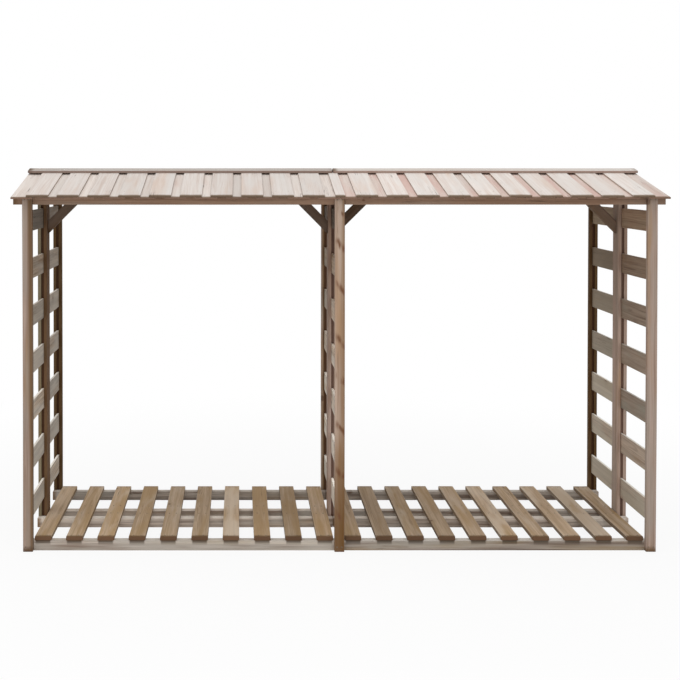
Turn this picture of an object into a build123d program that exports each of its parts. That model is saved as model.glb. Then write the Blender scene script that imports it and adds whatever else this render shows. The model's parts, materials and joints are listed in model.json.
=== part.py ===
"""A timber log store: two open bays between three slatted cross frames, under a board-on-board gable roof.

Millimetres. X runs along the length, Y from front to back and Z up, with the origin at the bottom centre.
"""
from build123d import *

import os
from math import ceil, cos, radians, sin, sqrt, tan

# Frame, over the outer faces of the posts
frame_length = 2890.0
frame_depth = 1030.0

# Front and back posts: width along the length, thickness along the depth
post_width = 45.0
post_thickness = 28.0

# Cross frames: horizontal slats housed in grooves along the posts
wall_slat_width = 95.0
wall_slat_thickness = 12.0
wall_slat_rows = 7
lowest_wall_slat = 136.0
wall_top_gap = 29.0
ridge_post_width = 95.0
groove_depth = 12.0
groove_clearance = 0.3

# Floor: slats across four lines of bearers
bearer_width = 45.0
bearer_height = 45.0
floor_slat_width = 76.0
floor_slat_thickness = 19.0
floor_slats_per_bay = 10
floor_end_clearance = 4.0

# Roof form: pitch in degrees, and the height of the boards' underside at the ridge
roof_pitch = 11.45
ridge_underside = 1726.0
end_overhang = 46.0
eave_overhang = 40.0

# Roof beams, both bevelled to the pitch; the eave beam's height is taken at the middle of its width
eave_beam_width = 45.0
eave_beam_height = 45.0
ridge_beam_width = 45.0
ridge_beam_height = 45.0

# Knee braces at 45 degrees between the ridge posts and the ridge beam
brace_width = 45.0
brace_thickness = 28.0
brace_drop = 250.0

# Roof boards in two layers, the upper ones lapping the gaps of the lower, with a strip and a cap at the ridge
roof_board_width = 100.0
roof_board_thickness = 8.0
least_board_lap = 25.0
panel_joint = 2.0
joint_batten_width = 45.0
ridge_strip_width = 30.0
cap_board_width = 58.0
cap_board_thickness = 12.0

# Places that several pieces share
pitch_angle = radians(roof_pitch)
roof_fall = tan(pitch_angle)
half_length = frame_length / 2
half_depth = frame_depth / 2
half_roof = half_length + end_overhang
post_inner_face = half_depth - post_thickness
ridge_post_face = ridge_post_width / 2
slat_outer_end = post_inner_face + groove_depth
slat_inner_end = ridge_post_face - groove_depth
end_frame_place = half_length - post_width / 2
frame_places = {"left": -end_frame_place, "middle": 0, "right": end_frame_place}
bay_sides = {"left": -1, "right": 1}

nodes = {}


def add(name, *pieces):
    """Keep the solids of one named sub-part."""
    nodes[name] = [solid for piece in pieces for solid in piece.solids()]


def add_front_and_back(name, *pieces):
    """Keep a sub-part of the front and its mirror image at the back."""
    add("front_" + name, *pieces)
    add("back_" + name, *[mirror(piece, about=Plane.XZ) for piece in pieces])


def timber(x_span, y_span, z_span):
    """A straight piece that fills a span along each axis."""
    spans = (x_span, y_span, z_span)
    centre = [(low + high) / 2 for low, high in spans]
    size = [high - low for low, high in spans]
    return Pos(*centre) * Box(*size)


def along_length(profile, x_span):
    """A piece that runs along the length with the given Y-Z profile."""
    outline = make_face(Polyline(*profile, close=True))
    low, high = x_span
    return extrude(Plane.YZ.offset(low) * outline, amount=high - low, dir=(1, 0, 0))


def mirrored_span(span, side):
    """A span along the length, on the right as given or reflected to the left."""
    low, high = span
    return (low, high) if side > 0 else (-high, -low)


def roof_underside(y):
    """Height of the roof boards' underside at a distance from the ridge line."""
    return ridge_underside - abs(y) * roof_fall


def slope_point(run, level):
    """A Y-Z point on the front slope: a run down from the ridge and a level above the boards' underside."""
    y = -run * cos(pitch_angle) - level * sin(pitch_angle)
    z = ridge_underside - run * sin(pitch_angle) + level * cos(pitch_angle)
    return y, z


def slope_board(x_span, run, level, thickness, head_run=None):
    """A board on the front slope, cut square at its foot, and at its head square too or else plumb at the ridge."""
    top = level + thickness
    profile = [
        slope_point(-level * roof_fall if head_run is None else head_run, level),
        slope_point(run, level),
        slope_point(run, top),
        slope_point(-top * roof_fall if head_run is None else head_run, top),
    ]
    return along_length(profile, x_span)


def groove(x, y_span):
    """What a groove takes out of a post over its full height."""
    half_groove = wall_slat_thickness / 2 + groove_clearance
    return timber((x - half_groove, x + half_groove), y_span, (0, ridge_underside))


# Front and back posts, grooved on their inner faces, their tops bevelled to the roof
for place, x in frame_places.items():
    post_profile = [
        (-half_depth, 0),
        (-post_inner_face, 0),
        (-post_inner_face, roof_underside(post_inner_face)),
        (-half_depth, roof_underside(half_depth)),
    ]
    post = along_length(post_profile, (x - post_width / 2, x + post_width / 2))
    post -= groove(x, (-slat_outer_end, -post_inner_face))
    add(place + "_front_post", post)
    add(place + "_back_post", mirror(post, about=Plane.XZ))

# Ridge posts, grooved on both edges and standing under the ridge beam
ridge_beam_bottom = ridge_underside - ridge_beam_height
for place, x in frame_places.items():
    ridge_post = timber(
        (x - post_width / 2, x + post_width / 2),
        (-ridge_post_face, ridge_post_face),
        (0, ridge_beam_bottom),
    )
    front_groove = groove(x, (-ridge_post_face, -slat_inner_end))
    add(place + "_ridge_post", ridge_post - front_groove - mirror(front_groove, about=Plane.XZ))

# Eave beams behind the posts, in two lengths that meet at the middle
eave_beam_inner = post_inner_face - eave_beam_width
eave_beam_bottom = roof_underside((post_inner_face + eave_beam_inner) / 2) - eave_beam_height
for side_name, side in bay_sides.items():
    eave_profile = [
        (-post_inner_face, eave_beam_bottom),
        (-eave_beam_inner, eave_beam_bottom),
        (-eave_beam_inner, roof_underside(eave_beam_inner)),
        (-post_inner_face, roof_underside(post_inner_face)),
    ]
    add_front_and_back("eave_beam_" + side_name, along_length(eave_profile, mirrored_span((0, half_roof), side)))

# Ridge beam with a gabled top, in two lengths that meet over the middle ridge post
ridge_shoulder = ridge_beam_width / 2
for side_name, side in bay_sides.items():
    ridge_profile = [
        (-ridge_shoulder, ridge_beam_bottom),
        (ridge_shoulder, ridge_beam_bottom),
        (ridge_shoulder, roof_underside(ridge_shoulder)),
        (0, ridge_underside),
        (-ridge_shoulder, roof_underside(ridge_shoulder)),
    ]
    add("ridge_beam_" + side_name, along_length(ridge_profile, mirrored_span((0, half_roof), side)))

# Wall slats of the two ends and the divider, in front and back lengths, evenly spaced up to the eave beams
slat_rise = eave_beam_bottom - wall_top_gap - wall_slat_width - lowest_wall_slat
slat_pitch = slat_rise / (wall_slat_rows - 1)
wall_names = {"left": "left_wall_slats", "middle": "divider_slats", "right": "right_wall_slats"}
for place, x in frame_places.items():
    slats = []
    for row in range(wall_slat_rows):
        bottom = lowest_wall_slat + row * slat_pitch
        front_slat = timber(
            (x - wall_slat_thickness / 2, x + wall_slat_thickness / 2),
            (-slat_outer_end, -slat_inner_end),
            (bottom, bottom + wall_slat_width),
        )
        slats.extend([front_slat, mirror(front_slat, about=Plane.XZ)])
    add(wall_names[place], *slats)

# Bearers behind the posts and on both faces of the ridge posts, in two lengths each
outer_bearer_y = (-post_inner_face, -post_inner_face + bearer_width)
inner_bearer_y = (-ridge_post_face - bearer_width, -ridge_post_face)
for side_name, side in bay_sides.items():
    bearer_x = mirrored_span((0, half_length), side)
    bearer_z = (0, bearer_height)
    add_front_and_back("bearer_" + side_name, timber(bearer_x, outer_bearer_y, bearer_z))
    add_front_and_back("inner_bearer_" + side_name, timber(bearer_x, inner_bearer_y, bearer_z))

# Floor slats, evenly spaced in each bay between the posts
bay_start = post_width / 2 + floor_end_clearance
bay_end = half_length - post_width - floor_end_clearance
floor_pitch = (bay_end - bay_start - floor_slat_width) / (floor_slats_per_bay - 1)
for side_name, side in bay_sides.items():
    slats = []
    for number in range(floor_slats_per_bay):
        start = bay_start + number * floor_pitch
        slats.append(
            timber(
                mirrored_span((start, start + floor_slat_width), side),
                (-post_inner_face, post_inner_face),
                (bearer_height, bearer_height + floor_slat_thickness),
            )
        )
    add(side_name + "_floor_slats", *slats)

# Knee braces, cut plumb against the ridge posts and level under the ridge beam
brace_foot = ridge_beam_bottom - brace_drop
brace_cut = brace_width * sqrt(2)


def brace(post_face, direction):
    """A brace that rises from a ridge post's face in one direction along the length."""
    outline = [
        (post_face, brace_foot),
        (post_face + direction * brace_drop, ridge_beam_bottom),
        (post_face + direction * (brace_drop - brace_cut), ridge_beam_bottom),
        (post_face, brace_foot + brace_cut),
    ]
    face = make_face(Polyline(*outline, close=True))
    return extrude(Plane.XZ * face, amount=brace_thickness / 2, both=True)


end_post_inner = half_length - post_width
add("left_brace", brace(-end_post_inner, 1))
add("divider_left_brace", brace(-post_width / 2, -1))
add("divider_right_brace", brace(post_width / 2, 1))
add("right_brace", brace(end_post_inner, -1))

# Roof boards: as many as keep the least lap, from the joint at the middle out to the ends
roof_run = (half_depth + eave_overhang) / cos(pitch_angle)
board_travel = half_roof - panel_joint / 2 - roof_board_width
board_gaps = ceil(board_travel / (2 * (roof_board_width - least_board_lap)))
board_pitch = board_travel / board_gaps
for side_name, side in bay_sides.items():
    under_boards = []
    over_boards = []
    for number in range(board_gaps + 1):
        start = panel_joint / 2 + number * board_pitch
        span = mirrored_span((start, start + roof_board_width), side)
        under_boards.append(slope_board(span, roof_run, 0, roof_board_thickness))
    for number in range(board_gaps):
        start = panel_joint / 2 + number * board_pitch + board_pitch / 2
        span = mirrored_span((start, start + roof_board_width), side)
        over_boards.append(
            slope_board(span, roof_run, roof_board_thickness, roof_board_thickness, ridge_strip_width)
        )
    add_front_and_back("roof_under_boards_" + side_name, *under_boards)
    add_front_and_back("roof_over_boards_" + side_name, *over_boards)

# Batten over the joint between the two halves of the roof
batten_x = (-joint_batten_width / 2, joint_batten_width / 2)
batten = slope_board(batten_x, roof_run, roof_board_thickness, roof_board_thickness, ridge_strip_width)
add_front_and_back("roof_joint_batten", batten)

# Ridge: on each slope a strip above the over boards' heads, and a cap board on top, both in two lengths
cap_level = 2 * roof_board_thickness
strip_lengths = []
cap_lengths = []
for side in bay_sides.values():
    ridge_x = mirrored_span((panel_joint / 2, half_roof), side)
    strip_lengths.append(slope_board(ridge_x, ridge_strip_width, roof_board_thickness, roof_board_thickness))
    cap_lengths.append(slope_board(ridge_x, cap_board_width, cap_level, cap_board_thickness))
add_front_and_back("ridge_strip", *strip_lengths)
add_front_and_back("ridge_cap", *cap_lengths)

# One file for each sub-part
os.makedirs("parts", exist_ok=True)
for name, solids in nodes.items():
    shape = solids[0] if len(solids) == 1 else Compound(children=solids)
    export_step(shape, os.path.join("parts", name + ".step"))
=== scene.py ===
"""Looks of the log store: weathered softwood boards, their screws, a pale floor, soft light and the camera.

Metres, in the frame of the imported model: X along the length, Y from front to back, Z up.
"""

import json
import math
import random

import bmesh
import bpy
from mathutils import Matrix, Vector


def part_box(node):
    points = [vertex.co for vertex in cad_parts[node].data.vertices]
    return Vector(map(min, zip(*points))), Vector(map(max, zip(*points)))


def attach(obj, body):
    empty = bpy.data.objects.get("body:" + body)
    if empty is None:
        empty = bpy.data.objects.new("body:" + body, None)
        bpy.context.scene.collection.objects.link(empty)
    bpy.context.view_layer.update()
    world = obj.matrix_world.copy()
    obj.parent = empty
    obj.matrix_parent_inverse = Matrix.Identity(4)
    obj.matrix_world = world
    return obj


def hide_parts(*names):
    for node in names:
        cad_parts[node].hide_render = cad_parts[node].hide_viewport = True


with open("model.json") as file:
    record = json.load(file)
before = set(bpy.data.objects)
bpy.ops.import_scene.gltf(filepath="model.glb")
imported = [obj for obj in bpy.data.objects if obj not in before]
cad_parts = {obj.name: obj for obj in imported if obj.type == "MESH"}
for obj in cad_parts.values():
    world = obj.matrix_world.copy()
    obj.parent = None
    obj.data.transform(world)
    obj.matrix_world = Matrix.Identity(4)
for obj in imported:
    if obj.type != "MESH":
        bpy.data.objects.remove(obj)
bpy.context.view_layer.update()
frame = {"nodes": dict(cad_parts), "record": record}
bearer_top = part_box("front_bearer_left")[1].z
random_source = random.Random(1710)

# Sizes of the timber's finish
weld_distance = 0.00001
edge_ease = 0.002
edge_steps = 2
cut_spacing = 0.085
flat_angle = math.radians(1)
square_tolerance = 0.01
end_facing = 0.5
bow_most = 0.0012
cup_most = 0.0006
end_trim_most = 0.0015
end_trim_share = 0.1

# Sizes of the wood's figure
ring_spacing = 0.0048
ring_wander = 0.022
ring_knot_push = 0.012
pith_near = 0.015
pith_far = 0.085
board_offset_most = 50.0
knot_cell = (0.31, 0.075, 1.0)
knot_stretch = 0.7
knot_least = 0.005
knot_spread = 0.009
knot_reach = 0.045
whorl_spacing = 0.2
whorl_start = 0.1
whorl_lean = 0.85
whorl_wobble = 0.05
whorl_half = 0.026
whorl_root = (-0.03, -0.002)
arris_reach = 0.004
# Painted shade in grooves: how far inside the board's box it starts and is full
groove_shade_reach = (0.0015, 0.005)
end_stain_reach = (0.006, -0.03)
end_stain_wander = 0.05
# Painted shadow under the floor slats' ends on the bearers: how far down the face it reaches, and its blur
slat_shadow_depth = 0.024
slat_shadow_blur = 0.008
# Heights over which the painted shade under the roof comes in
painted_roof_shade_rise = (0.5, 1.5)
relief_depth = 0.0012

# Repeats of the wood's patterns per metre: along the grain, across the board and through it
wander_repeats = (1.6, 11.0, 11.0)
crack_repeats = (1.1, 75.0, 75.0)
crack_place_repeats = (2.3, 9.0, 9.0)
broad_repeats = (0.9, 46.0, 46.0)
fine_repeats = (3.5, 150.0, 150.0)
fibre_repeats = (9.0, 520.0, 520.0)
patch_repeats = (2.4, 14.0, 14.0)
cloud_repeats = (1.7, 19.0, 19.0)
cloud_shift = (7.0, 3.0, 5.0)
whorl_wobble_repeats = (14.0, 40.0, 40.0)
whorl_break_repeats = (9.0, 45.0, 45.0)
rust_repeats = (35.0, 35.0, 35.0)

# Strengths of what makes up the wood's colour
ring_strength = 0.3
fine_strength = 1.1
fibre_strength = 0.4
gold_strength = 0.75
grey_strength = 0.6
heart_strength = 0.85
wet_strength = 0.85
near_knot_strength = 0.3
knot_strength = 0.7
# strength of the painted shade in grooves
groove_shade_strength = 0.7
end_strength = 0.85
end_ring_strength = 0.45
crack_strength = 0.55
# strength of the painted shadow under the slat ends
slat_shadow_strength = 0.9
relief_strength = 0.45
tone_spread = 0.25
timber_gloss = 0.12

# Colours of the marks in the wood, as they look on screen, of the painted shade in grooves and under slat
# ends, and the tint of the painted shade under the roof
knot_colour = (96, 68, 50)
whorl_colour = (112, 76, 54)
groove_shade_colour = (92, 58, 42)
end_ring_colour = (92, 70, 54)
crack_colour = (70, 54, 44)
slat_shadow_colour = (72, 60, 47)
painted_roof_shade_tint = (0.45, 0.36, 0.28, 1.0)

# Screw heads: radius, height above the wood, and the recess in the middle
screw_radius = 0.0034
screw_height = 0.0007
screw_recess_radius = 0.0015
screw_recess_depth = 0.0009
screw_taper = 0.8
screw_sides = 12

# Where the screws go: in from a board's edge, from the eave, and apart along the ridge
screw_edge = 0.021
screw_groove = 0.006
screw_eave = 0.094
screw_cap_spacing = 0.36
screw_post_side = 0.011

# Floor, sky and area lamps: each lamp's name, place, the point it is aimed at, side and power
floor_half = 60.0
floor_grey = (0.9, 0.9, 0.9, 1.0)
floor_roughness = 0.9
floor_white_least = 0.9
floor_white_reach = (1.6, 4.0)
sky_strength = 0.68
softboxes = (
    ("top_softbox", (-0.6, -1.2, 5.5), (0, 0, 0.8), 6.0, 92),
    ("front_softbox", (-0.4, -5.5, 1.2), (0, 0, 0.3), 3.0, 45),
)

# The photograph's frame, in pixels: its side, and where the camera's level line of sight meets it
photo_side = 680
sight_column = 239.8
horizon_row = 172

# Camera: distance in front of the posts, sideways place, height, focal length and downward tilt
camera_distance = 6.0
camera_side = -0.455
camera_height = 1.736
camera_lens = 69.93
camera_sensor = 36.0
camera_tilt = math.radians(1.1)


def srgb(red, green, blue):
    """A colour written as it looks on screen, 0 to 255, as linear light."""
    def linear(level):
        share = level / 255
        return share / 12.92 if share <= 0.04045 else ((share + 0.055) / 1.055) ** 2.4
    return linear(red), linear(green), linear(blue), 1.0


def add_object(name, data):
    """An object in the scene that shows a mesh, a lamp or a camera."""
    shown = bpy.data.objects.new(name, data)
    bpy.context.scene.collection.objects.link(shown)
    return shown


# Shader building


def put(tree, socket, value):
    """Link a socket to another node's output, or set it to a constant."""
    if isinstance(value, bpy.types.NodeSocket):
        tree.links.new(value, socket)
    else:
        socket.default_value = value


def add(tree, kind, inputs, **settings):
    """A shader node with its settings and inputs."""
    node = tree.nodes.new("ShaderNode" + kind)
    for key, value in settings.items():
        setattr(node, key, value)
    for key, value in inputs.items():
        put(tree, node.inputs[key], value)
    return node


def calc(tree, operation, *values):
    """The result of one sum."""
    return add(tree, "Math", dict(enumerate(values)), operation=operation).outputs[0]


def times(tree, first, second):
    """Two values multiplied."""
    return calc(tree, "MULTIPLY", first, second)


def minus(tree, first, second):
    """One value less another."""
    return calc(tree, "SUBTRACT", first, second)


def vector_calc(tree, operation, first, second):
    """The result of one vector sum."""
    return add(tree, "VectorMath", {0: first, 1: second}, operation=operation).outputs[0]


def ease_between(tree, value, low, high):
    """0 at low, 1 at high and a smooth step between."""
    inputs = {"Value": value, "From Min": low, "From Max": high}
    return add(tree, "MapRange", inputs, interpolation_type="SMOOTHSTEP").outputs[0]


def colour_mix(tree, factor, first, second, blend="MIX"):
    """Two colours mixed by a factor."""
    node = tree.nodes.new("ShaderNodeMix")
    node.data_type = "RGBA"
    node.blend_type = blend
    put(tree, node.inputs[0], factor)
    put(tree, node.inputs[6], first)
    put(tree, node.inputs[7], second)
    return node.outputs[2]


def axes_of(tree, vector):
    """The three parts of a vector."""
    return add(tree, "SeparateXYZ", {0: vector}).outputs


def noise(tree, vector, repeats, detail=2.0, roughness=0.55):
    """Noise from 0 to 1, with its repeats per metre along each axis."""
    scaled = vector_calc(tree, "MULTIPLY", vector, repeats)
    inputs = {"Vector": scaled, "Scale": 1.0, "Detail": detail, "Roughness": roughness}
    return add(tree, "TexNoise", inputs).outputs["Fac"]


def attribute(tree, name, output="Vector"):
    """A value kept on the mesh."""
    return add(tree, "Attribute", {}, attribute_name=name).outputs[output]


def new_material(name):
    """An empty material with its shader."""
    material = bpy.data.materials.new(name)
    material.use_nodes = True
    tree = material.node_tree
    shader = tree.nodes["Principled BSDF"]
    return material, tree, shader


# Kinds of board


class Look:
    """Colours of one kind of board, as they look on screen, with the painted light of its tops and the
    painted shade of its sides, and how much boards of that kind differ.
    """

    def __init__(self, pale, deep, gold, grey, end, heart=(100, 76, 46), top=(206, 199, 187), lit_top_share=0.0,
                 side=(136, 108, 90), shaded_side_share=0.0, streaks=0.55, spread=0.1, heart_blur=0.1, arris=0.3,
                 end_stain=0.4):
        self.pale = srgb(*pale)
        self.deep = srgb(*deep)
        self.gold = srgb(*gold)
        self.grey = srgb(*grey)
        self.end = srgb(*end)
        self.heart = srgb(*heart)
        self.top = srgb(*top)
        self.lit_top_share = lit_top_share
        self.side = srgb(*side)
        self.shaded_side_share = shaded_side_share
        self.streaks = streaks
        self.spread = spread
        self.heart_blur = heart_blur
        self.arris = arris
        self.end_stain = end_stain


class Wear:
    """How a sub-part has weathered, and the light and shade painted on it: its boards' shades in turn, some
    raised as painted light and some lowered as painted shade, its shares of golden, grey, heart and knotty
    wood (the grey board by board where it is a row), the way to its heart across and through the board, the
    height of its wet foot, how much painted shade of the roof darkens it and tints it brown high up, how
    plain its whorls are, and the slats that cast a painted shadow on it under their ends."""

    def __init__(self, *shades, gold=0.3, grey=0.35, heart=0.0, heartward=(0, 1, 0), knots=0.1, foot=0.03,
                 painted_roof_shade=0.0, whorls=0.0, slats=None):
        self.shades = shades or (1.0,)
        self.gold = gold
        self.greys = grey if isinstance(grey, tuple) else (grey,)
        self.heart = heart
        self.heartward = Vector(heartward)
        self.knots = knots
        self.foot = foot
        self.painted_roof_shade = painted_roof_shade
        self.whorls = whorls
        self.slats = slats


# Colours that several looks share: pale, deep, golden and grey wood, and the ends
post_wood = ((186, 163, 149), (146, 122, 106), (166, 128, 86), (168, 157, 146), (116, 90, 72))
bearer_wood = ((196, 184, 172), (120, 104, 92), (154, 132, 102), (178, 172, 163), (122, 98, 82))
# Painted highlight on the slats' upward faces
slat_lit_tops = {"top": (236, 231, 221), "lit_top_share": 0.9}
# Painted shade on the roof boards' sides, and little spread between boards
roof_side_shade_and_spread = {"shaded_side_share": 0.8, "spread": 0.03, "end_stain": 0.0}

# In each look the top colour is painted light on upward faces, and the side colour is painted shade on the
# other faces.
looks = {
    "posts": Look(*post_wood),
    "wall_slats": Look((196, 182, 164), (120, 102, 85), (160, 134, 100), (182, 180, 173), (116, 96, 78),
                       streaks=0.68, **slat_lit_tops),
    "bearers": Look(*bearer_wood, top=(228, 222, 212), lit_top_share=0.3, streaks=0.95),
    "floor_slats": Look((198, 175, 148), (152, 126, 97), (172, 142, 102), (208, 194, 176), (106, 79, 59),
                        side=(78, 60, 44), shaded_side_share=0.6, streaks=0.48, arris=0.65),
    "roof_beams": Look((154, 126, 106), (113, 86, 67), (132, 102, 74), (142, 126, 112), (108, 82, 66)),
    "roof_under_boards": Look((226, 212, 203), (204, 180, 168), (212, 178, 168), (224, 215, 208),
                              (134, 106, 90), **roof_side_shade_and_spread),
    "roof_over_boards": Look((230, 222, 216), (210, 194, 184), (218, 198, 184), (224, 219, 214),
                             (112, 94, 76), side=(150, 128, 112), **roof_side_shade_and_spread),
    "ridge_cap": Look((218, 211, 205), (190, 177, 167), (202, 186, 172), (214, 208, 202), (112, 90, 78),
                      side=(160, 134, 122), shaded_side_share=0.9, spread=0.02),
}
# The top colour here too is painted light on upward faces.
inner_bearer_look = Look(*bearer_wood, top=(190, 184, 175), lit_top_share=0.8, streaks=0.95)
node_looks = {
    "front_inner_bearer_left": inner_bearer_look,
    "front_inner_bearer_right": inner_bearer_look,
    "front_bearer_right": Look(*bearer_wood, top=(232, 226, 217), lit_top_share=0.85, streaks=0.95),
    "left_front_post": Look(*post_wood, heart=(88, 62, 34), heart_blur=0.35),
    "middle_front_post": Look((206, 185, 168), (146, 117, 96), (172, 138, 106), (184, 170, 158),
                              (116, 90, 72), heart=(102, 68, 20), heart_blur=0.7),
    "front_roof_under_boards_left": Look((228, 218, 211), (202, 186, 175), (208, 184, 172), (224, 216, 209),
                                         (134, 106, 90), **roof_side_shade_and_spread),
    "right_wall_slats": Look((196, 178, 160), (122, 100, 84), (160, 132, 102), (178, 174, 159),
                             (116, 96, 78), streaks=0.38, **slat_lit_tops),
    "left_ridge_post": Look((170, 158, 130), (130, 116, 92), (140, 116, 80), (150, 142, 122), (100, 76, 56),
                            heart=(116, 76, 48)),
    "middle_ridge_post": Look((180, 158, 146), (138, 116, 103), (152, 120, 94), (164, 144, 130),
                              (100, 76, 56)),
    "left_back_post": Look((150, 122, 94), (110, 82, 54), (124, 90, 52), (136, 120, 100), (100, 76, 56)),
    "right_back_post": Look((146, 116, 90), (106, 76, 50), (112, 78, 46), (130, 110, 92), (96, 70, 52)),
}

wears = {
    "left_front_post": Wear(0.82, gold=0.2, grey=0.45, heart=0.41, heartward=(0.25, 1, 0)),
    "middle_front_post": Wear(1.04, gold=0.05, grey=0.15, heart=0.42, knots=0.08, foot=0.7, whorls=1.0),
    "right_front_post": Wear(1.02, gold=0.0, grey=0.3),
    "left_back_post": Wear(0.7, gold=0.5, grey=0.2, heart=1.0),
    "middle_back_post": Wear(1.04, gold=0.3, grey=0.4, heart=0.8),
    "right_back_post": Wear(0.74, gold=0.5, grey=0.1, heart=1.0),
    "left_ridge_post": Wear(0.74, gold=0.3, grey=0.3, heart=0.6, heartward=(0, 0, 1), painted_roof_shade=0.3),
    "middle_ridge_post": Wear(1.1, gold=0.25, grey=0.35, painted_roof_shade=0.5),
    "right_ridge_post": Wear(1.1, gold=0.1, painted_roof_shade=0.5),
    # The front top slat's low shade is painted shade under the roof.
    "left_wall_slats": Wear(1.36, 1.3, 1.48, 1.28, 1.1, 1.38, 0.67, 1.46, 1.07, 1.16, 1.14, 1.46, 1.24, 0.98,
                            gold=0.04, grey=0.75, knots=0.04, painted_roof_shade=0.5),
    "right_wall_slats": Wear(1.02, 0.96, 0.7, 0.9, 0.84, 1.06, 1.36, 1.32, 1.26, 1.2, 1.08, 0.98, 0.98, 1.36,
                             gold=0.1, grey=(0.45,) * 7 + (1.1,) * 7, knots=0.04, painted_roof_shade=0.85),
    # The lower slats' high shades are painted light, and the top slats' low shades are painted shade under
    # the roof.
    "divider_slats": Wear(1.9, 1.75, 1.65, 1.7, 1.9, 1.75, 0.5, 1.55, 1.9, 1.85, 1.65, 1.2, 1.45, 0.5,
                          gold=0.05, grey=0.7, knots=0.04, painted_roof_shade=0.85),
    # The braces' low shades are painted shade under the roof.
    "left_brace": Wear(0.54, gold=0.6),
    "right_brace": Wear(0.78, gold=0.4),
    "divider_left_brace": Wear(0.54, gold=0.4),
    "divider_right_brace": Wear(0.4, gold=0.4),
    # The front bearers take a painted shadow under the ends of these slats.
    "front_bearer_left": Wear(1.24, gold=0.05, grey=0.55, slats="left_floor_slats"),
    "front_bearer_right": Wear(1.0, gold=0.4, grey=0.15, slats="right_floor_slats"),
    # The inner bearers' high shades are painted light where the floor slats shade them.
    "front_inner_bearer_left": Wear(1.75, gold=0.1, grey=0.4),
    "front_inner_bearer_right": Wear(1.8, gold=0.1, grey=0.4),
    "back_inner_bearer_left": Wear(1.75, gold=0.1, grey=0.4),
    "back_inner_bearer_right": Wear(1.34, gold=0.1, grey=0.4),
    "left_floor_slats": Wear(1.22, 1.2, 1.18, 1.16, 1.04, 1.06, 1.38, 1.04, 0.98, 1.1, gold=0.5, knots=0.04,
                             grey=(0.3, 0.15, 0.25, 0.2, 0.1, 0.2, 0.35, 0.2, 0.05, 0.2)),
    "right_floor_slats": Wear(1.06, 0.82, 0.98, 1.02, 1.02, 1.2, 1.2, 1.26, 1.04, 0.92, gold=0.4, knots=0.04,
                              grey=(0.2, 0.0, 0.1, 0.1, 0.1, 0.7, 0.4, 0.5, 0.7, 0.3)),
    "front_ridge_cap": Wear(0.76, 1.0, gold=0.2, grey=0.4, knots=0.0),
    "front_eave_beam_left": Wear(1.07, gold=0.2, grey=0.4, knots=0.4),
    "front_eave_beam_right": Wear(1.07, gold=0.2, grey=0.4, knots=0.2),
    "front_roof_over_boards_left": Wear(0.96, 0.93, 0.92, 0.9, 0.92, 0.96, 0.91, 0.91, 0.93, 0.95,
                                        gold=0.3, grey=0.35, knots=0.01),
    "front_roof_over_boards_right": Wear(1.05, gold=0.25, grey=0.35, knots=0.01),
    "front_roof_under_boards_right": Wear(gold=0.6, grey=0.2, knots=0.0),
    "front_roof_under_boards_left": Wear(1.0, 0.93, 1.05, 0.94, 0.95, 0.98, 1.03, 0.84, 0.9, 1.02, 1.05,
                                         gold=0.05, grey=0.6, knots=0.0),
    "back_roof_under_boards_right": Wear(gold=0.4, knots=0.03),
    "back_roof_under_boards_left": Wear(gold=0.4, knots=0.03),
}
plain_wears = {
    "roof_over_boards": Wear(gold=0.2, grey=0.4, knots=0.01),
    "ridge_cap": Wear(gold=0.2, grey=0.4, knots=0.02),
    "bearers": Wear(1.15, gold=0.25, grey=0.45, knots=0.1),
    "roof_beams": Wear(1.07, gold=0.2, grey=0.4),
}


# Figure of the wood


def ring_figure(tree, grain, knot_push):
    """Growth rings round the pith, 0 in the early wood and 1 at the late wood's line."""
    across, through = axes_of(tree, grain)[1:]
    wander = calc(tree, "MULTIPLY_ADD", noise(tree, grain, wander_repeats), ring_wander, knot_push)
    square = calc(tree, "ADD", times(tree, across, across), times(tree, through, through))
    radius = calc(tree, "ADD", calc(tree, "SQRT", square), wander)
    share = calc(tree, "FRACT", calc(tree, "DIVIDE", radius, ring_spacing))
    rise = ease_between(tree, share, 0.35, 0.9)
    fall = ease_between(tree, share, 1.0, 0.93)
    return times(tree, rise, fall)


def knot_figure(tree, place, grain, presence):
    """How near a knot is, and how much of a knot is there."""
    along = vector_calc(tree, "MULTIPLY", grain, (1.0, 0.0, 0.0))
    across = vector_calc(tree, "MULTIPLY", place, (0.0, 1.0, 0.0))
    scaled = vector_calc(tree, "DIVIDE", vector_calc(tree, "ADD", along, across), knot_cell)
    cells = add(tree, "TexVoronoi", {"Vector": scaled, "Scale": 1.0}, voronoi_dimensions="2D")
    away = vector_calc(tree, "SUBTRACT", scaled, cells.outputs["Position"])
    metres = vector_calc(tree, "MULTIPLY", away, (knot_cell[0] * knot_stretch, knot_cell[1], 0.0))
    distance = add(tree, "VectorMath", {0: metres}, operation="LENGTH").outputs["Value"]
    draw = add(tree, "SeparateColor", {0: cells.outputs["Color"]}).outputs
    size = calc(tree, "MULTIPLY_ADD", draw[1], knot_spread, knot_least)
    chosen = calc(tree, "GREATER_THAN", calc(tree, "ADD", draw[0], presence), 1.0)
    core = ease_between(tree, calc(tree, "DIVIDE", distance, size), 1.15, 0.6)
    near = ease_between(tree, distance, knot_reach, 0.0)
    return times(tree, near, chosen), times(tree, core, chosen)


def crack_figure(tree, grain):
    """Fine drying cracks along the grain, 1 in a crack."""
    level = noise(tree, grain, crack_repeats, 1.0)
    line = ease_between(tree, calc(tree, "ABSOLUTE", minus(tree, level, 0.5)), 0.012, 0.004)
    where = ease_between(tree, noise(tree, grain, crack_place_repeats), 0.56, 0.66)
    return times(tree, line, where)


def share_patch(tree, pattern, share):
    """Where a pattern of noise covers about the given share of the wood."""
    edge = calc(tree, "MULTIPLY_ADD", share, -0.42, 0.7)
    return ease_between(tree, minus(tree, pattern, edge), -0.1, 0.16)


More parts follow.
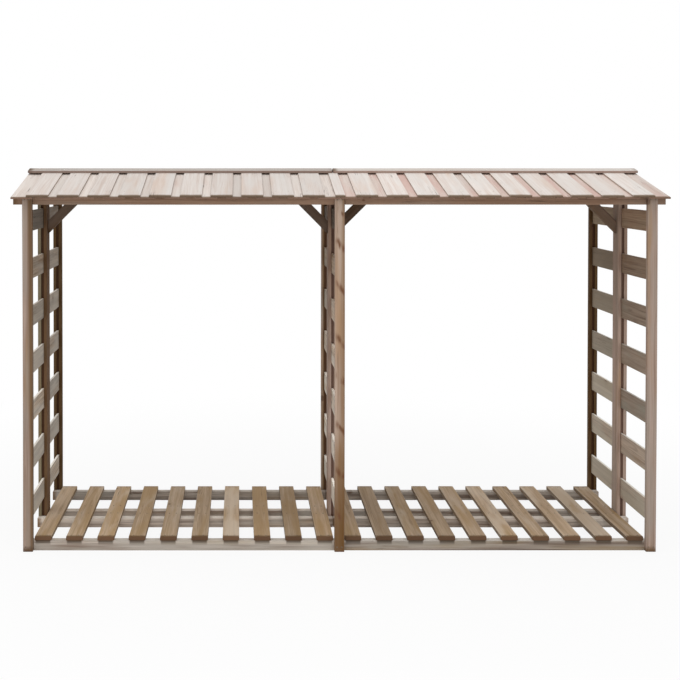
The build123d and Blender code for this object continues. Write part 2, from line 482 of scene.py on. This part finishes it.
def heart_figure(tree, toward_heart, wander, share, blur):
    """Heartwood on one side of the board, over about the given share of it."""
    edge = calc(tree, "MULTIPLY_ADD", share, -2.3, 1.15)
    line = calc(tree, "MULTIPLY_ADD", minus(tree, wander, 0.5), 0.5, toward_heart)
    return ease_between(tree, minus(tree, line, edge), -blur, 1.6 * blur)


def slat_shadow_figure(tree, place, height):
    """Painted shadow high on a bearer's face, one under the end of each slat."""
    start, pitch, reach = axes_of(tree, attribute(tree, "painted_slat_shadow"))
    turn = calc(tree, "DIVIDE", minus(tree, axes_of(tree, place)[0], start), pitch)
    off = calc(tree, "ABSOLUTE", minus(tree, turn, calc(tree, "ROUND", turn)))
    past = minus(tree, times(tree, off, pitch), reach)
    has_slats = calc(tree, "GREATER_THAN", pitch, 0.0)
    under = times(tree, ease_between(tree, past, 0.0, -slat_shadow_blur), has_slats)
    return times(tree, under, ease_between(tree, height, bearer_top - slat_shadow_depth, bearer_top))


def whorl_figure(tree, place, grain):
    """Slanting smears where whorls of branches cross the board."""
    along, across = axes_of(tree, place)[:2]
    wobble = times(tree, noise(tree, grain, whorl_wobble_repeats), whorl_wobble)
    row = calc(tree, "ADD", calc(tree, "MULTIPLY_ADD", across, whorl_lean, along), wobble)
    turn = calc(tree, "DIVIDE", calc(tree, "ADD", row, whorl_start), whorl_spacing)
    number = {"W": calc(tree, "FLOOR", turn)}
    draw = add(tree, "TexWhiteNoise", number, noise_dimensions="1D").outputs["Value"]
    centre = calc(tree, "MULTIPLY_ADD", draw, 0.3, 0.35)
    away = calc(tree, "ABSOLUTE", minus(tree, calc(tree, "FRACT", turn), centre))
    line = ease_between(tree, times(tree, away, whorl_spacing), whorl_half, 0.0)
    broken = ease_between(tree, noise(tree, grain, whorl_break_repeats), 0.36, 0.56)
    rooted = ease_between(tree, across, *whorl_root)
    return times(tree, times(tree, line, broken), rooted)


# Weathered softwood


class Timber:
    """One timber material: what the boards keep for it, the wood's patterns and its layers of colour."""

    def __init__(self, tree, look):
        self.tree = tree
        self.look = look
        self.grain = attribute(tree, "grain")
        self.place = attribute(tree, "place")
        self.half = attribute(tree, "half")
        self.place_axes = axes_of(tree, self.place)
        self.half_axes = axes_of(tree, self.half)
        self.shade, self.gold, self.grey = axes_of(tree, attribute(tree, "tone"))
        self.heart, self.knots, self.foot = axes_of(tree, attribute(tree, "marks"))
        self.end_face = attribute(tree, "end", "Fac")
        geometry = add(tree, "NewGeometry", {}).outputs
        self.height = axes_of(tree, geometry["Position"])[2]
        # how much a face looks up, for the painted light on tops and the painted shade on sides
        self.upward = ease_between(tree, axes_of(tree, geometry["True Normal"])[2], 0.4, 0.9)
        self.near_knot, self.knot = knot_figure(tree, self.place, self.grain, self.knots)
        self.rings = ring_figure(tree, self.grain, times(tree, self.near_knot, ring_knot_push))
        self.cracks = crack_figure(tree, self.grain)
        self.broad = noise(tree, self.grain, broad_repeats)
        self.fine = noise(tree, self.grain, fine_repeats)
        self.fibre = noise(tree, self.grain, fibre_repeats)
        self.patch = noise(tree, self.grain, patch_repeats, 3.0, 0.5)
        shifted = vector_calc(tree, "ADD", self.grain, cloud_shift)
        self.cloud = noise(tree, shifted, cloud_repeats, 3.0, 0.5)
        self.figure = self.streaked()

    def streaked(self):
        """How deep the wood's own colour is, from its streaks, rings and fibres."""
        tree = self.tree
        figure = times(tree, ease_between(tree, self.broad, 0.3, 0.72), self.look.streaks)
        figure = calc(tree, "MULTIPLY_ADD", self.rings, ring_strength, figure)
        figure = calc(tree, "MULTIPLY_ADD", minus(tree, self.fine, 0.5), fine_strength, figure)
        return calc(tree, "MULTIPLY_ADD", minus(tree, self.fibre, 0.5), fibre_strength, figure)

    def laid(self, under, over, share, strength=1.0):
        """A colour laid over another where a pattern says, at a strength."""
        return colour_mix(self.tree, times(self.tree, share, strength), under, over)

    def inside(self, axis):
        """How far inside the board's own box a point lies along one of its axes."""
        away = calc(self.tree, "ABSOLUTE", self.place_axes[axis])
        return minus(self.tree, self.half_axes[axis], away)

    def bare(self):
        """The wood before it weathers."""
        return colour_mix(self.tree, self.figure, self.look.pale, self.look.deep)

    def aged(self, colour):
        """Golden and grey patches."""
        golden = share_patch(self.tree, self.cloud, self.gold)
        colour = self.laid(colour, self.look.gold, golden, gold_strength)
        greyed = share_patch(self.tree, self.patch, self.grey)
        return self.laid(colour, self.look.grey, greyed, grey_strength)

    def hearted(self, colour):
        """Dark heartwood to one side."""
        tree, look = self.tree, self.look
        place_share = vector_calc(tree, "DIVIDE", self.place, self.half)
        heartward = {0: place_share, 1: attribute(tree, "heartward")}
        toward_heart = add(tree, "VectorMath", heartward, operation="DOT_PRODUCT").outputs["Value"]
        heart = heart_figure(tree, toward_heart, self.broad, self.heart, look.heart_blur)
        between = colour_mix(tree, 0.5, look.heart, look.gold)
        heart_colour = colour_mix(tree, self.figure, look.heart, between)
        return self.laid(colour, heart_colour, heart, heart_strength)

    def wetted(self, colour):
        """A dark foot where the board takes up water."""
        tree = self.tree
        rise = calc(tree, "ADD", self.place_axes[0], self.half_axes[0])
        wet_line = times(tree, self.foot, calc(tree, "MULTIPLY_ADD", self.cloud, 1.2, 0.4))
        wet = ease_between(tree, calc(tree, "DIVIDE", rise, wet_line), 1.0, 0.1)
        return self.laid(colour, self.look.heart, wet, wet_strength)

    def knotted(self, colour):
        """Knots and whorls."""
        colour = self.laid(colour, self.look.deep, self.near_knot, near_knot_strength)
        colour = self.laid(colour, srgb(*knot_colour), self.knot, knot_strength)
        whorls = whorl_figure(self.tree, self.place, self.grain)
        return self.laid(colour, srgb(*whorl_colour), whorls, attribute(self.tree, "whorls", "Fac"))

    def lit_tops_and_shaded_sides(self, colour):
        """Painted light on upward faces and painted shade on the other faces."""
        colour = self.laid(colour, self.look.top, self.upward, self.look.lit_top_share)
        sideways = minus(self.tree, 1.0, self.upward)
        return self.laid(colour, self.look.side, sideways, self.look.shaded_side_share)

    def worn_and_groove_shaded(self, colour):
        """Wear on the arrises, and painted shade in grooves."""
        tree = self.tree
        past_side = self.inside(1)
        past_face = self.inside(2)
        arris = ease_between(tree, calc(tree, "MAXIMUM", past_side, past_face), arris_reach, 0.0)
        rubbed = times(tree, arris, ease_between(tree, self.patch, 0.35, 0.6))
        colour = self.laid(colour, self.look.grey, rubbed, self.look.arris)
        # painted shade where a face lies sunk inside the board's box, as in a groove
        groove_shade = ease_between(tree, calc(tree, "MINIMUM", past_side, past_face), *groove_shade_reach)
        groove_shade = times(tree, groove_shade, minus(tree, 1.0, self.end_face))
        return self.laid(colour, srgb(*groove_shade_colour), groove_shade, groove_shade_strength)

    def stained(self, colour):
        """Stained ends, with the rings on their cut faces."""
        tree, look = self.tree, self.look
        end_line = calc(tree, "MULTIPLY_ADD", self.patch, -end_stain_wander, self.inside(0))
        stain = ease_between(tree, end_line, *end_stain_reach)
        colour = self.laid(colour, look.end, stain, look.end_stain)
        end_colour = self.laid(look.end, srgb(*end_ring_colour), self.rings, end_ring_strength)
        return self.laid(colour, end_colour, self.end_face, end_strength)

    def cracked_and_slat_shadowed(self, colour):
        """Drying cracks, and painted shadow under the ends of slats."""
        colour = self.laid(colour, srgb(*crack_colour), self.cracks, crack_strength)
        # painted shadow under each slat's end
        painted_slat_shadow = slat_shadow_figure(self.tree, self.place, self.height)
        return self.laid(colour, srgb(*slat_shadow_colour), painted_slat_shadow, slat_shadow_strength)

    def shaded(self, colour):
        """The board's shade, raised as painted light on some boards and lowered as painted shade on others,
        and painted shade under the roof, tinted brown as wood that weathers less there.
        """
        tree = self.tree
        shade = add(tree, "CombineColor", {0: self.shade, 1: self.shade, 2: self.shade}).outputs[0]
        colour = colour_mix(tree, 1.0, colour, shade, "MULTIPLY")
        # painted shade under the roof, growing with height and tinted brown
        lift = ease_between(tree, self.height, *painted_roof_shade_rise)
        roof_shaded = times(tree, lift, attribute(tree, "painted_roof_shade", "Fac"))
        return colour_mix(tree, roof_shaded, colour, painted_roof_shade_tint, "MULTIPLY")

    def relief(self):
        """The fine relief of rings, fibres, patches and cracks."""
        tree = self.tree
        height = calc(tree, "MULTIPLY_ADD", self.rings, 0.4, times(tree, self.fibre, 0.6))
        height = calc(tree, "MULTIPLY_ADD", self.patch, 0.5, height)
        height = calc(tree, "MULTIPLY_ADD", self.cracks, -1.2, height)
        inputs = {"Strength": relief_strength, "Distance": relief_depth, "Height": height}
        return add(tree, "Bump", inputs).outputs[0]


def timber_material(name, look):
    """Weathered softwood: the bare wood's colour, with each layer of age, of painted light and of painted
    shade laid over it in turn.
    """
    material, tree, shader = new_material(name)
    timber = Timber(tree, look)
    colour = timber.bare()
    for layer in (timber.aged, timber.hearted, timber.wetted, timber.knotted, timber.lit_tops_and_shaded_sides, timber.worn_and_groove_shaded,
                  timber.stained, timber.cracked_and_slat_shadowed, timber.shaded):
        colour = layer(colour)
    put(tree, shader.inputs["Base Color"], colour)
    put(tree, shader.inputs["Roughness"], calc(tree, "MULTIPLY_ADD", timber.fibre, 0.2, 0.7))
    put(tree, shader.inputs["Specular IOR Level"], timber_gloss)
    put(tree, shader.inputs["Normal"], timber.relief())
    return material


def steel_material(name, bright, rusty):
    """Dull plated steel with a little rust."""
    material, tree, shader = new_material(name)
    place = add(tree, "NewGeometry", {}).outputs["Position"]
    rust = ease_between(tree, noise(tree, place, rust_repeats), 0.5, 0.7)
    colour = colour_mix(tree, rust, srgb(*bright), srgb(*rusty))
    put(tree, shader.inputs["Base Color"], colour)
    put(tree, shader.inputs["Metallic"], calc(tree, "MULTIPLY_ADD", rust, -0.6, 0.8))
    put(tree, shader.inputs["Roughness"], calc(tree, "MULTIPLY_ADD", rust, 0.3, 0.45))
    return material


# Boards


class Board:
    """One solid of a sub-part: its shape, and its own axes along the grain, across it and through it."""

    def __init__(self, faces):
        self.shape = self.copied(faces)
        longest = max(self.shape.edges, key=lambda edge: edge.calc_length())
        along = (longest.verts[0].co - longest.verts[1].co).normalized()
        sides = [face for face in self.shape.faces if abs(face.normal.dot(along)) < square_tolerance]
        through = max(sides, key=lambda face: face.calc_area()).normal.copy()
        self.along = self.upward(along)
        self.through = self.upward(through)
        self.across = self.through.cross(self.along)
        self.axes = Matrix((self.along, self.across, self.through))
        self.back = self.axes.inverted()
        local = [self.axes @ vertex.co for vertex in self.shape.verts]
        low = Vector([min(point[axis] for point in local) for axis in range(3)])
        high = Vector([max(point[axis] for point in local) for axis in range(3)])
        self.middle = (low + high) / 2
        self.half = (high - low) / 2
        self.bow = random_source.uniform(-bow_most, bow_most)
        self.side_bow = random_source.uniform(-bow_most, bow_most)
        self.cup = random_source.uniform(-cup_most, cup_most)
        self.trims = [random_source.uniform(0, end_trim_most) for end in range(2)]

    @staticmethod
    def copied(faces):
        """A shape of its own with these faces, the flat ones joined."""
        shape = bmesh.new()
        corners = {}
        for face in faces:
            for vertex in face.verts:
                if vertex not in corners:
                    corners[vertex] = shape.verts.new(vertex.co)
            shape.faces.new([corners[vertex] for vertex in face.verts])
        bmesh.ops.recalc_face_normals(shape, faces=shape.faces)
        bmesh.ops.dissolve_limit(shape, angle_limit=flat_angle, verts=shape.verts, edges=shape.edges)
        return shape

    @staticmethod
    def upward(direction):
        """The direction or its opposite, so that its largest part is positive."""
        largest = max(direction, key=abs)
        return direction if largest > 0 else -direction

    @property
    def centre(self):
        """The board's middle in the frame."""
        return self.back @ self.middle

    def bent(self, place):
        """Where a place on the straight board lies once the board has bowed, cupped and been trimmed."""
        reach = place.x / self.half.x
        bend = math.sin(math.pi * (reach + 1) / 2)
        near_end = max(0, abs(reach) - (1 - end_trim_share)) / end_trim_share
        trim = self.trims[0] * near_end if reach < 0 else -self.trims[1] * near_end
        moved = Vector((
            place.x + trim,
            place.y + self.side_bow * bend,
            place.z + self.bow * bend + self.cup * (place.y / self.half.y) ** 2,
        ))
        point = self.back @ (self.middle + moved)
        point.z = max(point.z, 0)
        return point


def boards_of(node):
    """The boards of one CAD sub-part, from left to right, front to back and bottom to top."""
    shape = bmesh.new()
    shape.from_mesh(frame["nodes"][node].data)
    bmesh.ops.remove_doubles(shape, verts=shape.verts, dist=weld_distance)
    waiting = set(shape.faces)
    boards = []
    for start in list(shape.faces):
        if start not in waiting:
            continue
        waiting.discard(start)
        solid = []
        frontier = [start]
        while frontier:
            face = frontier.pop()
            solid.append(face)
            for edge in face.edges:
                neighbours = [other for other in edge.link_faces if other in waiting]
                waiting.difference_update(neighbours)
                frontier.extend(neighbours)
        boards.append(Board(solid))
    shape.free()
    return sorted(boards, key=lambda board: tuple(round(x, 3) for x in board.centre))


def shape_board(board):
    """Ease the board's edges, cut it into lengths and bend it.

    Gives each corner's place on the straight board.
    """
    shape = board.shape
    bmesh.ops.bevel(
        shape, geom=shape.edges[:], offset=edge_ease, segments=edge_steps, profile=0.5, affect="EDGES"
    )
    cuts = max(2, round(2 * board.half.x / cut_spacing))
    for number in range(1, cuts):
        share = number / cuts * 2 - 1
        point = board.back @ (board.middle + Vector((share * board.half.x, 0, 0)))
        geometry = shape.verts[:] + shape.edges[:] + shape.faces[:]
        bmesh.ops.bisect_plane(shape, geom=geometry, dist=weld_distance, plane_co=point, plane_no=board.along)
    places = {}
    for vertex in shape.verts:
        place = board.axes @ vertex.co - board.middle
        places[vertex] = place
        vertex.co = board.bent(place)
    return places


def slat_shadow_pattern(board, slats):
    """Where slats cross a bearer, for the painted shadow under their ends: the first along it, their pitch
    and the half width of one.
    """
    if not slats:
        return Vector()
    first, second = slats[:2]
    return Vector((first.centre.x - board.centre.x, second.centre.x - first.centre.x, first.half.y))


def around(middle, spread, low=0.0, high=1.0):
    """A number drawn near the middle and kept between two limits."""
    return min(high, max(low, middle + random_source.uniform(-spread, spread)))


def draw_pith():
    """Where the pith lies from a board's middle, and how far along its tree the board was cut."""
    turn = random_source.uniform(0, 2 * math.pi)
    far = random_source.uniform(pith_near, pith_far)
    start = random_source.uniform(0, board_offset_most)
    return Vector((start, far * math.cos(turn), far * math.sin(turn)))


def draw_tone(number, slot, wear):
    """A board's shade, and its shares of golden and grey wood."""
    shade = wear.shades[number % len(wear.shades)] * around(1.0, looks[slot].spread, 0.0, 2.0)
    gold = around(wear.gold, tone_spread)
    grey = around(wear.greys[number % len(wear.greys)], tone_spread)
    return Vector((shade, gold, grey))


def timber_piece(node, slot, wear, boards):
    """The mesh that stands for a CAD sub-part, with the figure's coordinates kept on it."""
    mesh = bpy.data.meshes.new(node + "_timber")
    whole = bmesh.new()
    vector_names = ("grain", "place", "half", "tone", "marks", "heartward", "painted_slat_shadow")
    corner_layers = [whole.verts.layers.float_vector.new(name) for name in vector_names]
    painted_roof_shade_layer = whole.verts.layers.float.new("painted_roof_shade")
    whorl_layer = whole.verts.layers.float.new("whorls")
    end_layer = whole.faces.layers.float.new("end")
    marks = Vector((wear.heart, wear.knots, wear.foot))
    for number, board in enumerate(boards):
        places = shape_board(board)
        pith = draw_pith()
        tone = draw_tone(number, slot, wear)
        # where the painted shadow under the slat ends falls on this bearer
        painted_slat_shadow = slat_shadow_pattern(board, all_boards.get(wear.slats))
        copies = {}
        for vertex in board.shape.verts:
            copy = whole.verts.new(vertex.co)
            place = places[vertex]
            values = (place + pith, place, board.half, tone, marks, wear.heartward, painted_slat_shadow)
            for layer, value in zip(corner_layers, values):
                copy[layer] = value
            # share of the painted shade under the roof
            copy[painted_roof_shade_layer] = wear.painted_roof_shade
            copy[whorl_layer] = wear.whorls
            copies[vertex] = copy
        for face in board.shape.faces:
            new_face = whole.faces.new([copies[vertex] for vertex in face.verts])
            new_face[end_layer] = 1.0 if abs(face.normal.dot(board.along)) > end_facing else 0.0
        board.shape.free()
    bmesh.ops.recalc_face_normals(whole, faces=whole.faces)
    whole.to_mesh(mesh)
    whole.free()
    piece = add_object(node + "_timber", mesh)
    mesh.materials.append(materials.get(node, materials[slot]))
    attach(piece, "root")
    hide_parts(node)


# Screws


def spot_on(board, along, across, side):
    """A place on a board's broad face, and the direction out of the wood there."""
    place = Vector((along, across, side * board.half.z))
    return board.bent(place), side * board.through


def screw_head(shape, point, outward):
    """A low round head with a sunk recess."""
    turn = outward.to_track_quat("Z", "Y").to_matrix()
    rings = []
    for radius, height in (
        (screw_radius, -screw_height),
        (screw_radius, screw_height / 2),
        (screw_radius * screw_taper, screw_height),
        (screw_recess_radius, screw_height),
        (screw_recess_radius * screw_taper, screw_height - screw_recess_depth),
    ):
        ring = []
        for number in range(screw_sides):
            angle = 2 * math.pi * number / screw_sides
            local = Vector((radius * math.cos(angle), radius * math.sin(angle), height))
            ring.append(shape.verts.new(point + turn @ local))
        rings.append(ring)
    for lower, upper in zip(rings, rings[1:]):
        for number in range(screw_sides):
            following = (number + 1) % screw_sides
            shape.faces.new((lower[number], lower[following], upper[following], upper[number]))
    shape.faces.new(rings[-1])


def screws_piece(name, steel, spots):
    """One mesh with a screw head at each spot."""
    shape = bmesh.new()
    for point, outward in spots:
        screw_head(shape, point, outward)
    mesh = bpy.data.meshes.new(name)
    shape.to_mesh(mesh)
    shape.free()
    piece = add_object(name, mesh)
    mesh.materials.append(steel)
    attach(piece, "root")


def middle_of(node):
    """The middle of a CAD sub-part's box."""
    low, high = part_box(node)
    return (Vector(low) + Vector(high)) / 2


def floor_spots():
    """Two screws in each floor slat over each line of bearers."""
    lines = [middle_of(node).y for node in all_boards if "bearer" in node and node.endswith("_left")]
    for node in ("left_floor_slats", "right_floor_slats"):
        for board in all_boards[node]:
            for line in lines:
                for side in (-1, 1):
                    yield spot_on(board, line - board.centre.y, side * (board.half.y - screw_edge), 1)


def roof_spots():
    """Two screws in each over board at the eave beam."""
    for node in all_boards:
        if "over_boards" in node:
            for board in all_boards[node]:
                eave = (board.half.x - screw_eave) * (1 if board.centre.y > 0 else -1)
                for side in (-1, 1):
                    yield spot_on(board, eave, side * (board.half.y - screw_edge), 1)


def cap_spots():
    """Screws along the ridge caps."""
    for node in ("front_ridge_cap", "back_ridge_cap"):
        for board in all_boards[node]:
            count = round(2 * board.half.x / screw_cap_spacing)
            for number in range(count):
                yield spot_on(board, ((number + 0.5) / count * 2 - 1) * board.half.x, 0, 1)


def groove_spots():
    """A screw through a ridge post's groove into each wall slat, from the face turned away from the bays."""
    walls = {"left": "left_wall_slats", "middle": "divider_slats", "right": "right_wall_slats"}
    for place, wall in walls.items():
        post = all_boards[place + "_ridge_post"][0]
        outward = -1 if place == "left" else 1
        for slat in all_boards[wall]:
            toward_slat = math.copysign(post.half.y - screw_groove, slat.centre.y * post.across.y)
            yield spot_on(post, slat.centre.z - post.centre.z, toward_slat, outward)


def post_spots():
    """Screws through the posts into the bearers and eave beams behind them."""
    for face, outward in (("front", -1), ("back", 1)):
        levels = [middle_of(face + "_bearer_left").z, middle_of(face + "_eave_beam_left").z]
        for place in ("left", "middle", "right"):
            for board in all_boards[place + "_" + face + "_post"]:
                for level in levels:
                    for side in (-1, 1):
                        yield spot_on(board, level - board.centre.z, side * screw_post_side, outward)


materials = {name: timber_material(name, look) for name, look in {**looks, **node_looks}.items()}
screw_steel = steel_material("screw_steel", (120, 108, 94), (104, 82, 64))
roof_steel = steel_material("roof_screw_steel", (204, 199, 192), (176, 154, 138))
all_boards = {subpart["node"]: boards_of(subpart["node"]) for subpart in frame["record"]["subparts"]}
screws_piece("floor_screws", screw_steel, floor_spots())
screws_piece("roof_screws", roof_steel, roof_spots())
screws_piece("cap_screws", roof_steel, cap_spots())
screws_piece("groove_screws", screw_steel, groove_spots())
screws_piece("post_screws", screw_steel, post_spots())
for subpart in frame["record"]["subparts"]:
    name = subpart["node"]
    kind = subpart["material_slot"]
    timber_piece(name, kind, wears.get(name) or plain_wears.get(kind) or Wear(), all_boards[name])


# Stage


def seen_by_eye(tree):
    """1 for what the camera sees, straight or in gloss or glass."""
    path = add(tree, "LightPath", {}).outputs
    glossy = calc(tree, "MAXIMUM", path["Is Glossy Ray"], path["Is Transmission Ray"])
    return calc(tree, "MAXIMUM", path["Is Camera Ray"], glossy)


def make_floor():
    """A pale floor that keeps a faint shadow."""
    mesh = bpy.data.meshes.new("floor")
    turns = ((-1, -1), (1, -1), (1, 1), (-1, 1))
    corners = [(floor_half * x, floor_half * y, 0) for x, y in turns]
    mesh.from_pydata(corners, [], [(0, 1, 2, 3)])
    floor = add_object("floor", mesh)
    material, tree, shader = new_material("floor")
    put(tree, shader.inputs["Base Color"], floor_grey)
    put(tree, shader.inputs["Roughness"], floor_roughness)
    put(tree, shader.inputs["Specular IOR Level"], 0.0)
    white = add(tree, "Emission", {"Color": (1, 1, 1, 1), "Strength": 1.0}).outputs[0]
    ground = vector_calc(tree, "MULTIPLY", add(tree, "NewGeometry", {}).outputs["Position"], (1, 1, 0))
    away = add(tree, "VectorMath", {0: ground}, operation="LENGTH").outputs["Value"]
    far = ease_between(tree, away, *floor_white_reach)
    whiteness = calc(tree, "MULTIPLY_ADD", far, 1 - floor_white_least, floor_white_least)
    share = times(tree, seen_by_eye(tree), whiteness)
    blend = add(tree, "MixShader", {0: share, 1: shader.outputs[0], 2: white})
    tree.links.new(blend.outputs[0], tree.nodes["Material Output"].inputs["Surface"])
    mesh.materials.append(material)


def make_world():
    """An even pale sky that is plain white to the eye."""
    world = bpy.data.worlds.new("sky")
    bpy.context.scene.world = world
    world.use_nodes = True
    tree = world.node_tree
    background = tree.nodes["Background"]
    background.inputs["Color"].default_value = (1, 1, 1, 1)
    level = calc(tree, "MULTIPLY_ADD", seen_by_eye(tree), 1 - sky_strength, sky_strength)
    put(tree, background.inputs["Strength"], level)


def make_softbox(name, place, target, size, power):
    """A square area lamp aimed at a point."""
    lamp = bpy.data.lights.new(name, "AREA")
    lamp.shape = "SQUARE"
    lamp.size = size
    lamp.energy = power
    holder = add_object(name, lamp)
    holder.location = place
    holder.rotation_euler = (Vector(target) - Vector(place)).to_track_quat("-Z", "Y").to_euler()


def make_camera():
    """The photograph's view: level but for a slight tilt, with the frame shifted as the photograph's is."""
    data = bpy.data.cameras.new("camera")
    data.lens = camera_lens
    data.sensor_width = camera_sensor
    focal_pixels = camera_lens / camera_sensor * photo_side
    sight_row = horizon_row + focal_pixels * math.tan(camera_tilt)
    data.shift_x = (photo_side / 2 - sight_column) / photo_side
    data.shift_y = (sight_row - photo_side / 2) / photo_side
    camera = add_object("camera", data)
    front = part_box("left_front_post")[0].y
    camera.location = (camera_side, front - camera_distance, camera_height)
    camera.rotation_euler = (math.pi / 2 - camera_tilt, 0, 0)
    bpy.context.scene.camera = camera


make_floor()
make_world()
for softbox in softboxes:
    make_softbox(*softbox)
make_camera()
bpy.context.scene.view_settings.view_transform = "Standard"
